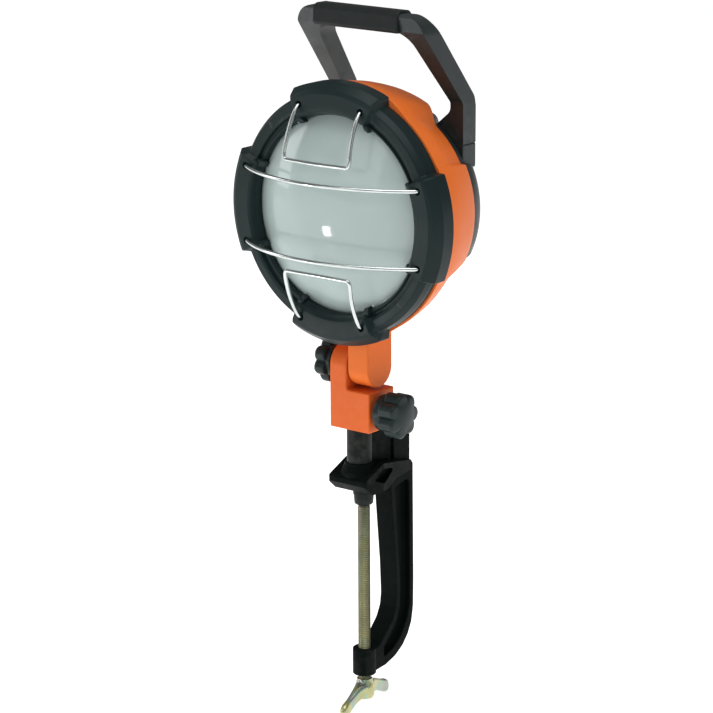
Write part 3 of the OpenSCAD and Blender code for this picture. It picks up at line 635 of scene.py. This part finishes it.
# ------------------------------------------------------------------ lens and reflector
def arc_pts(rc, f0, r0, r1, n):
    return [(r, f0 + math.sqrt(rc * rc - r * r)) for r in np.linspace(r0, r1, n)]
lens_prof = arc_pts(180.5, -128.0, 0.0, 86.2, 34) + [(86.2, 29.6), (86.6, 29.0), (95.3, 29.0), (95.3, 27.65), (84.0, 27.65)] + arc_pts(178.0, -128.0, 84.0, 0.0, 34)
lens = polar("lens_dome", lambda a: lens_prof, even(144))
finish_piece(lens, ["lens"], sharp=45, weighted=False)

ref_in = rnd([(95.3, 24.4), (81.2, 24.4, 2.0), (79.2, 22.0, 3.0), (72.0, -6.6, 7.0), (22.2, -13.7, 1.0), (22.2, -15.3), (73.0, -8.2, 8.0), (80.9, 22.45, 1.0), (95.3, 22.45)], n=8)
refl = polar("reflector_pan", lambda a: ref_in, even(144))
finish_piece(refl, ["reflector"], sharp=50, weighted=False)

# ------------------------------------------------------------------ head shell
S0 = [(-40, 89), (-30, 93), (-20, 97), (-10, 101.5), (0, 105.5), (10, 108), (20, 110)]
SP = [(-40, 93.8), (-30, 97.7), (-20, 101.2), (-10, 104.4), (0, 107.2), (8, 108.8), (20, 110.6)]
SH = [(-40, 100.8), (-30, 104.9), (-20, 107.9), (-10, 110.4), (0, 112), (8, 112.8), (20, 113.4)]
SI = [(-40, 85.4), (-30, 89.4), (-20, 93.3), (-10, 97.8), (0, 101), (13, 101)]
FS = [19.9] + list(np.linspace(17, -37, 28)) + [-39.0, -39.8]
def shell_prof(a):
    wp = near(a, (0, 180, 270), 27.5, 2.2)
    wh = near(a, (90,), 31.0, 12.0)
    pts = [(100.4, 19.9)]
    for f in FS:
        r = sample(S0, f)
        r += (sample(SP, f) - r) * wp
        r += max(0.0, sample(SH, f) - r) * wh
        if f <= -39.0:
            r -= 0.7 if f < -39.5 else 0.2
        if f == 19.9:
            r -= 0.4
        pts.append((r, f))
    for f in (-40.0, -36.0, -30.0, -20.0, -10.0, 0.0, 12.0):
        pts.append((sample(SI, f), f))
    pts.append((100.4, 14.0))
    return pts
sh_angles = [math.radians(x) for x in sorted(set(list(np.arange(0, 360, 1.5)) + [c + s * (27.5 + d) for c in (0, 180, 270) for s in (-1, 1) for d in (-1.1, -0.7, -0.35, 0, 0.35, 0.7, 1.1)]))]
sh_angles = sorted(set(round(x % (2 * math.pi), 6) for x in sh_angles))
shell = polar("shell_band", shell_prof, sh_angles)
lug_out = [(HY + 17.5, 156.0), (HY + 17.5, PIV)] + [(HY + 17.5 * math.cos(t), PIV + 17.5 * math.sin(t)) for t in np.linspace(0, -math.pi, 41)[1:-1]] + [(HY - 17.5, PIV), (HY - 17.5, 149.0)]
knuckle = prism("tilt_knuckle", lug_out, -2.2, 20.4, YZ)
bevel(knuckle, 1.6, 4, 40, flat=0)
bore = turned("bore", [(0, -6), (5.02, -6), (5.02, 16.6), (0, 16.6)], 48, "x", (0, HY, PIV))
boolean(knuckle, bore)
finish_piece(shell, ["head_shell"], sharp=40)
finish_piece(knuckle, [], slot="orange_plastic", body="head", sharp=35)

# ------------------------------------------------------------------ rear cover
C0 = [(87.4, -40.65), (87.4, -42.5), (84.8, -50), (80.4, -58), (72.4, -66), (60, -72.4), (50, -73.6), (30, -73.95), (0, -74)]
CP = [(92.2, -40.65), (92.2, -42.5), (90.4, -50), (86.4, -58), (79.6, -65.6), (68, -71.4), (52, -73.7), (30, -73.95), (0, -74)]
CI = [(0, -70.8), (58, -69.4), (70.4, -63.4), (77.8, -56), (81.6, -49), (84.6, -40.65)]
def densify(p, n=3):
    p = np.asarray(p, float)
    return chaikin(np.array(p), n)
C0d, CPd = densify(C0, 2), densify(CP, 2)
def cover_prof(a):
    w = near(a, (0, 90, 180, 270), 27.5, 2.4)
    return np.vstack([C0d + (CPd - C0d) * w, np.asarray(CI, float)])
cv_angles = sorted(set(round(math.radians(x) % (2 * math.pi), 6) for x in list(np.arange(0, 360, 1.5)) + [c + s * (27.5 + d) for c in (0, 90, 180, 270) for s in (-1, 1) for d in (-1.2, -0.8, -0.4, 0, 0.4, 0.8, 1.2)]))
cover = polar("back_cover", cover_prof, cv_angles)
seats = []
for s in (-1, 1):
    st = prism("seat", rnd([(s*65 - 7.2, HZ + 34), (s*65 + 7.2, HZ + 34), (s*65 + 7.2, HZ + 55.9), (s*65 - 7.2, HZ + 55.9)], 1.5, 3), HY + 50.8, HY + 69.8, XZ)
    bevel(st, 0.8, 2, 40, flat=0)
    seats.append(st)
cuts = []
for a in (45, 135, 225, 315):
    x, y, z = head(80, 0, math.radians(a))
    cuts.append(turned("c", [(0, 45), (3.5, 45), (3.5, 90), (0, 90)], 32, "y", (x, HY, z)))
cuts.append(turned("c", [(0, 55), (8.05, 55), (8.05, 95), (0, 95)], 48, "y", (0, HY, HZ - 40)))
cuts.append(prism("c", [(-10.15, HZ + 19.8), (10.15, HZ + 19.8), (10.15, HZ + 48.2), (-10.15, HZ + 48.2)], HY + 58, HY + 95, XZ))
for c in cuts:
    bm = bmesh.new(); bm.from_mesh(c.data); bmesh.ops.recalc_face_normals(bm, faces=bm.faces); bm.to_mesh(c.data); bm.free()
boolean(cover, join("cuts", cuts))
finish_piece(cover, ["rear_cover"], sharp=38)
seat = join("handle_seats", seats)
finish_piece(seat, [], slot="cover_black", body="head")

# ------------------------------------------------------------------ handle
side = rnd([(ARMY, 55.9, 0.3), (ARMY, KNEE, 6.0), (HYT + 12.4, HT - 15.6, 3.0), (HYT + 9.2, HT - 2, 3.0), (HYT + 12, HT, 4.0), (HYT + 24, HT - 0.6, 5.0), (HYT + 29, HT - 8, 6.0),
            (ARMY + 17, KNEE + 5, 12.0), (ARMY + 18.6, KNEE - 4, 8.0), (ARMY + 18.4, 55.9, 0.3)], n=7)
side = [(y + HY, z + HZ) for y, z in side]
front_half = [(72, 55.9, 0.3), (72, KNEE - 1, 24.0), (68, HT, 20.0), (0, HT, 0), (0, HT - 15.5, 0), (49.5, HT - 15.9, 16.0), (58.2, KNEE, 14.0), (58.2, 84.0, 12.0), (43.0, 71.0, 3.0), (43.0, 55.9, 0.3)]
F2 = rnd(front_half, n=9)
F2 = [tuple(p) for p in F2]
mid = [i for i, p in enumerate(F2) if abs(p[0]) < 1e-6]
outline = [(x, z + HZ) for x, z in F2[:mid[0]]] + [(-x, z + HZ) for x, z in reversed(F2[:mid[0]])] + [(-x, z + HZ) for x, z in reversed(F2[mid[1] + 1:])][::1]
# right half outer up to the top, left half outer down, left inner up, right inner down
outer = [(x, z + HZ) for x, z in F2[:mid[0]]]
inner = [(x, z + HZ) for x, z in F2[mid[1] + 1:]]
outline = outer + [(-x, z) for x, z in reversed(outer)] + [(-x, z) for x, z in reversed(inner)] + inner
A = prism("handle_bow", outline, HY - 30, HY + 90, XZ)
B = prism("hb", side, -90, 90, YZ)
boolean(A, B, "INTERSECT")
bevel(A, 2.2, 4, 42, flat=0.8)
for s in (-1, 1):
    boolean(A, turned("c", [(0, 50), (1.75, 50), (1.75, 76), (0, 76)], 24, "z", (s * 65, HY + 60.5, HZ)))
finish_piece(A, ["handle_frame"], sharp=40)
gx0, gx1 = -48.0, 44.0
gp = rnd([(2, 0, 2.6), (21, 0, 2.6), (23, 3, 3.0), (23, 14, 4.0), (19, 18.6, 4.0), (5, 19, 4.5), (1, 16, 4.0), (0, 3, 2.6)], n=6)
gp = [(y + HY + HYT + 7, z + HZ + HT - 17) for y, z in gp]
grip = prism("grip_sleeve_soft", gp, gx0, gx1, YZ)
bevel(grip, 1.3, 4, 50, flat=0)
finish_piece(grip, ["grip_sleeve"], sharp=45)

# ------------------------------------------------------------------ bracket
L = rnd([(-22, 57.8, 0.0), (22, 57.8, 0.0), (22, 94.2, 0.0), (-3.6, 94.2, 3.2), (-3.6, 133, 0.0), (-22, 133, 0.0)], n=6)
Y = prism("bracket_block", [tuple(p) for p in L], -40, 40, XZ)
ear = [(HY - 18, 50), (HY + 18, 50), (HY + 18, PIV)] + [(HY + 18 * math.cos(t), PIV + 18 * math.sin(t)) for t in np.linspace(0, math.pi, 61)[1:-1]] + [(HY - 18, PIV)]
boolean(Y, prism("e", ear, -60, 60, YZ), "INTERSECT")
bevel(Y, 1.5, 4, 38, flat=0.8)
boolean(Y, turned("c", [(0, -60), (5.05, -60), (5.05, 10), (0, 10)], 48, "x", (0, HY, PIV)))
boolean(Y, turned("c", [(0, 50), (11.25, 50), (11.25, 89.6), (0, 89.6)], 72, "z", (0, POSTY, 0)))
boolean(Y, turned("c", [(0, 5), (4.05, 5), (4.05, 40), (0, 40)], 40, "x", (0, POSTY, KZ)))
finish_piece(Y, ["yoke"], sharp=36)


def star_knob(name, node, axis, at, hub_h, h, hub_r=16.2, kr=20.5, lobes=7, phase=0.0, depth=1.0):
    rows = []
    hub = [(hub_r - 0.8, 0.0), (hub_r, 0.7), (hub_r, hub_h * 0.5), (hub_r, hub_h - 0.6), (hub_r - 0.2, hub_h)]
    T = hub_h + h
    n = 252
    V, F = [], []
    def R(t):
        s = 0.5 + 0.5 * math.cos(lobes * t + phase)
        s = s ** 0.42
        return kr - 4.3 + 4.3 * s
    rings = [("hub", r, z) for r, z in hub]
    rings += [("star", -1.6, hub_h + 0.05), ("star", -0.5, hub_h + 0.5), ("star", -0.05, hub_h + 1.4), ("star", 0.0, hub_h + 2.6), ("star", 0.0, T - 3.4), ("star", -0.25, T - 1.9), ("star", -0.9, T - 0.8), ("star", -1.9, T - 0.2), ("star", -2.9, T)]
    rings += [("mix", 13.4, T + 0.25), ("disc", 12.0, T + 0.75), ("disc", 10.0, T + 1.25), ("disc", 7.5, T + 1.75), ("disc", 4.5, T + 2.2), ("disc", 1.5, T + 2.38), ("disc", 0.0, T + 2.4)]
    for kind, a, z in rings:
        for i in range(n):
            t = 2 * math.pi * i / n
            if kind == "hub" or kind == "disc":
                r = a
            elif kind == "mix":
                r = 0.55 * a + 0.45 * (R(t) - 3.6)
            else:
                r = R(t) + a
            c, s = r * math.cos(t), r * math.sin(t)
            x = z if axis == "x" else -z
            V.append((x + at[0], c + at[1], s + at[2]))
    m = len(rings)
    for j in range(m - 1):
        for i in range(n):
            k = (i + 1) % n
            F.append((j * n + i, j * n + k, (j + 1) * n + k, (j + 1) * n + i))
    F.append(tuple(range(n)))
    o = make(name, V, F)
    cx = (-1 if axis != "x" else 1)
    c = turned("c", [(0, -3), (4.2 if axis == "x" else 7.5, -3), (4.2 if axis == "x" else 7.5, 10), (0, 10)], 40, "x" if axis == "x" else "-x", at)
    bm = bmesh.new(); bm.from_mesh(c.data); bmesh.ops.recalc_face_normals(bm, faces=bm.faces); bm.to_mesh(c.data); bm.free()
    boolean(o, c)
    finish_piece(o, [node], sharp=50)
    return o
star_knob("tilt_star_knob", "tilt_knob", "-x", (-22 - 1.7, HY, PIV), 5.0, 11.0, phase=0.6)
star_knob("swivel_star_knob", "swivel_knob", "x", (22 + 4.5, POSTY, KZ), 8.0, 16.5, phase=0.2)

# ------------------------------------------------------------------ clamp
post = turned("post_tube", [(0, 6.2), (11.2, 6.2), (11.2, 86.0), (10.2, 87.6), (0, 87.6)], 96, "z", (0, POSTY, 0))
finish_piece(post, ["post"], sharp=40)

arm_side = rnd([(-25, 13.6, 2.0), (2, 25.6, 8.0), (58, 14, 1.0), (60, 5, 1.0), (28, 5, 3.0), (12, 0, 3.0), (-14, 0, 2.0), (-25, 9.5, 2.0)], n=5)
arm_plan = rnd([(-21, -25, 3.0), (21, -25, 3.0), (21, 2, 6.0), (9.4, 58, 1.0), (9.4, 62, 0.5), (-9.4, 62, 0.5), (-9.4, 58, 1.0), (-21, 2, 6.0)], n=5)
J = prism("clamp_casting", [tuple(p) for p in arm_side], -40, 40, YZ)
boolean(J, prism("p", [tuple(p) for p in arm_plan], -10, 40, XY), "INTERSECT")
bow = rnd([(27.5, 9, 1), (60.5, 12, 2), (61.5, -100, 10), (61, -126, 20), (58.5, -140, 16), (53, -151, 14), (45, -160, 14), (34, -167, 14), (20, -171.5, 10), (4, -173, 1),
           (4, BOSS_T - 2, 1), (12, BOSS_T + 2, 8), (21, -140, 10), (29.5, -131, 12), (34.5, -121, 12), (36, -110, 12), (34.5, -80, 20), (27.5, -8, 6)], n=5)
spine = prism("s", [tuple(p) for p in bow], -9.4, 9.4, YZ)
web = rnd([(33.5, -6, 3), (54.5, -2, 4), (56, -100, 10), (55.5, -124, 14), (50.5, -138, 12), (42, -150.5, 10), (32, -158, 8), (17, -163.5, 2),
           (17.5, -153, 2), (27, -143.5, 8), (36, -133, 10), (40.5, -121, 12), (41.5, -108, 10), (40, -80, 10)], n=5)
for s in (-1, 1):
    boolean(spine, prism("w", [tuple(p) for p in web], *sorted((s * 3.2, s * 20.0)), YZ))
bevel(spine, 1.3, 3, 40, flat=0.6)
rec = rnd([(-13, 13.4, 2), (2, 20.8, 3), (24, 16.2, 2), (4, 6.4, 3)], n=4)
for s in (-1, 1):
    boolean(J, prism("r", [tuple(p) for p in rec], *sorted((s * 14.0, s * 40.0)), YZ))
bevel(J, 1.2, 3, 40, flat=0.6)
gus = bevel(prism("g", [tuple(p) for p in rnd([(0, 12), (0, 50), (50, 47), (58, 40), (58, 10)], 2.0, 4)], -3.2, 3.2, YZ), 1.0, 3, 40, flat=0)
rib = bevel(prism("g", [tuple(p) for p in rnd([(36, 10), (36, 46), (38, 48), (58, 48), (60, 46), (60, 10)], 1.5, 4)], -6.2, 6.2, YZ), 1.2, 3, 40, flat=0)
boss = turned("b", [(5.78, BOSS_B), (9.7, BOSS_B), (10.6, BOSS_B + 0.9), (10.6, BOSS_T - 0.9), (9.7, BOSS_T), (5.78, BOSS_T)], 72, "z")
collar = turned("b", [(11.25, 8), (17.4, 12), (16.9, 17.4), (15.2, 20.6), (13.6, 24.2), (12.9, 26.0), (11.9, 26.4), (11.25, 26.0)], 96, "z", (0, POSTY, 0))
for part in (gus, rib):
    boolean(part, turned("c", [(0, 0), (11.22, 0), (11.22, 70), (0, 70)], 96, "z", (0, POSTY, 0)))
boolean(J, turned("c", [(0, 6), (11.22, 6), (11.22, 70), (0, 70)], 96, "z", (0, POSTY, 0)))
boolean(spine, turned("c", [(0, -190), (5.78, -190), (5.78, -140), (0, -140)], 48, "z"))
for part, nm in ((spine, "clamp_spine"), (gus, "clamp_gusset"), (rib, "clamp_rib"), (boss, "clamp_boss"), (collar, "clamp_collar")):
    part.name = nm
    finish_piece(part, [], slot="cast_black", body="clamp", sharp=38)
finish_piece(J, ["clamp_frame"], sharp=38)

pad = turned("swivel_pad_cup", [(0, -14.6), (7.4, -14.6), (8.4, -13.7), (9.0, -6.4), (9.5, -5.2), (9.6, -4.6), (9.6, -0.9), (9.1, -0.35), (0, -0.35)], 72, "z")
finish_piece(pad, ["swivel_pad"], sharp=45)

# screw with its thread
pitch, ztop, zbot = 1.75, -12.0, BOSS_B - 22.0
V, F = [], []
nz, na = int((ztop - zbot) / 0.25) + 1, 36
for i in range(nz):
    z = ztop - 0.25 * i
    for k in range(na):
        a = 2 * math.pi * k / na
        ph = ((z / pitch) - k / na) % 1.0
        tri = abs(2 * ph - 1.0)
        depth = min(1.0, max(0.0, (tri - 0.10) / 0.78))
        r = 4.75 + 0.93 * depth
        if z > -17.4:
            r = min(r, 3.2 + max(0.0, (-z - 15.2)) * 1.2)
        if z < zbot + 1.2:
            r = min(r, 4.7 + (z - zbot) * 0.8)
        V.append((r * math.cos(a), r * math.sin(a), z))
for i in range(nz - 1):
    for k in range(na):
        l = (k + 1) % na
        F.append((i * na + k, i * na + l, (i + 1) * na + l, (i + 1) * na + k))
F.append(tuple(range(na))[::-1])
F.append(tuple(range((nz - 1) * na, nz * na)))
scr = make("clamp_screw_thread", V, F, doubles=False)
finish_piece(scr, ["clamp_screw"], sharp=70, weighted=False)

# wing handle: hub, neck and two drooping wings
hz0 = BOSS_B - 14.0
hub = turned("wh", [(5.72, hz0 - 9), (7.9, hz0 - 9), (8.9, hz0 - 7.6), (9.4, hz0 - 2), (9.0, hz0 + 2.0), (8.0, hz0 + 4.6), (7.4, hz0 + 6.5), (7.0, hz0 + 10.0), (5.72, hz0 + 10.0)], 72, "z")
parts = [hub]
for sgn, dirang in ((1, 99.4), (-1, 279.4)):
    d = np.array([math.cos(math.radians(dirang)), math.sin(math.radians(dirang)), 0])
    tn = np.array([-d[1], d[0], 0])
    st = [(3.0, 0.0, 6.4, 5.6), (7.0, -0.2, 6.6, 5.4), (11, -0.9, 6.2, 4.4), (16, -2.2, 5.6, 3.5), (22, -4.4, 5.2, 3.1), (28, -7.0, 5.2, 3.0), (33, -9.0, 5.5, 3.1), (37, -10.2, 5.6, 3.2), (40, -11.0, 4.8, 2.9), (41.6, -11.4, 3.6, 2.2), (42.4, -11.6, 1.6, 1.0)]
    T = np.linspace(0, len(st) - 1, 41)
    S = np.array([[np.interp(t, range(len(st)), [q[j] for q in st]) for j in range(4)] for t in T])
    for _ in range(2):
        S[1:-1] = 0.25 * S[:-2] + 0.5 * S[1:-1] + 0.25 * S[2:]
    m = 28
    V, F = [], []
    for r0, zc, hh, ht in S:
        hh, ht = hh * (1.0 + 0.18 * min(1.0, r0 / 20)), ht * 1.22
        for k in range(m):
            a = 2 * math.pi * k / m
            c, s = math.cos(a), math.sin(a)
            ex = 0.72
            px = ht * math.copysign(abs(c) ** ex, c)
            pz = hh * math.copysign(abs(s) ** ex, s)
            # a shallow finger hollow on both faces
            px *= 1 - 0.22 * math.exp(-((r0 - 31) / 7.0) ** 2) * (1 - abs(s)) ** 0.5
            P = d * r0 + tn * px + np.array([0, 0, hz0 + zc + pz])
            V.append(P)
    for i in range(len(S) - 1):
        for k in range(m):
            l = (k + 1) % m
            F.append((i * m + k, i * m + l, (i + 1) * m + l, (i + 1) * m + k))
    F.append(tuple(range(m))[::-1])
    F.append(tuple(range((len(S) - 1) * m, len(S) * m)))
    parts.append(make("wing", V, F, doubles=False))
wh = parts[0]
for q in parts[1:]:
    boolean(wh, q, "UNION")
boolean(wh, turned("c", [(0, hz0 - 8), (5.74, hz0 - 8), (5.74, hz0 + 20), (0, hz0 + 20)], 48, "z"))
wh.name = "wing_handle_forged"
rm = wh.modifiers.new("soft", "SMOOTH")
rm.factor, rm.iterations = 0.5, 3
baked(wh)
finish_piece(wh, ["wing_handle"], sharp=55, weighted=False)
